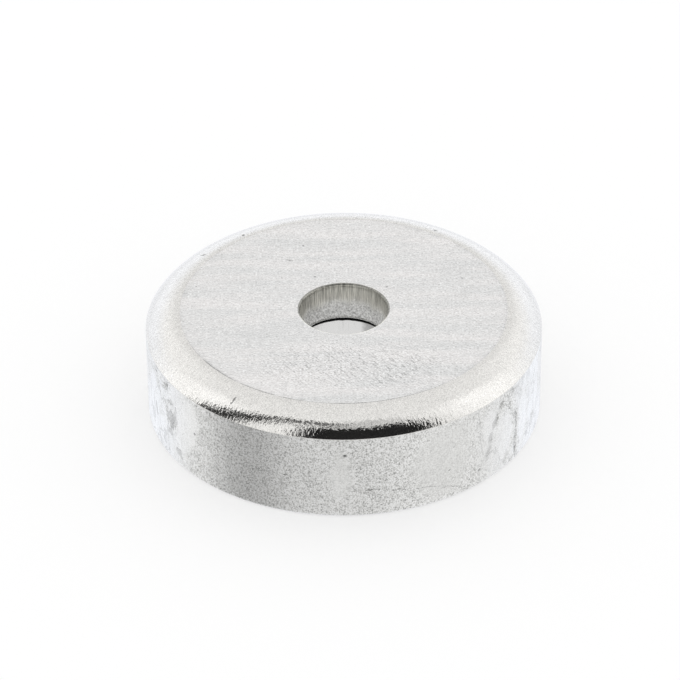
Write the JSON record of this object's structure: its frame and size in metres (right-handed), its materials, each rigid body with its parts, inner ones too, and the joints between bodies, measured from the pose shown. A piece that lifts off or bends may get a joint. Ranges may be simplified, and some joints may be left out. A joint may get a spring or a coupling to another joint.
{
  "type": "pot magnet",
  "caption": "Shallow round pot magnet: a nickel-plated steel cup with a plain fixing hole through its back, and a ring magnet bonded inside.",
  "frame": {"origin": "centre of the holding face, on the plane of the steel rim", "axes": "+Z along the axis of the pot, from the holding face towards the closed back"},
  "size_m": [0.025, 0.025, 0.007],
  "materials": {
    "plated_steel": "satin nickel plate over a faced back and a turned side, worn in patches",
    "plated_magnet": "bright nickel plate over sintered magnet",
    "resin": "cured dark grey epoxy resin"
  },
  "bodies": {
    "root": {"steel_pot": "plated_steel", "ring_magnet": "plated_magnet", "resin_bond": "resin"}
  },
  "joints": []
}
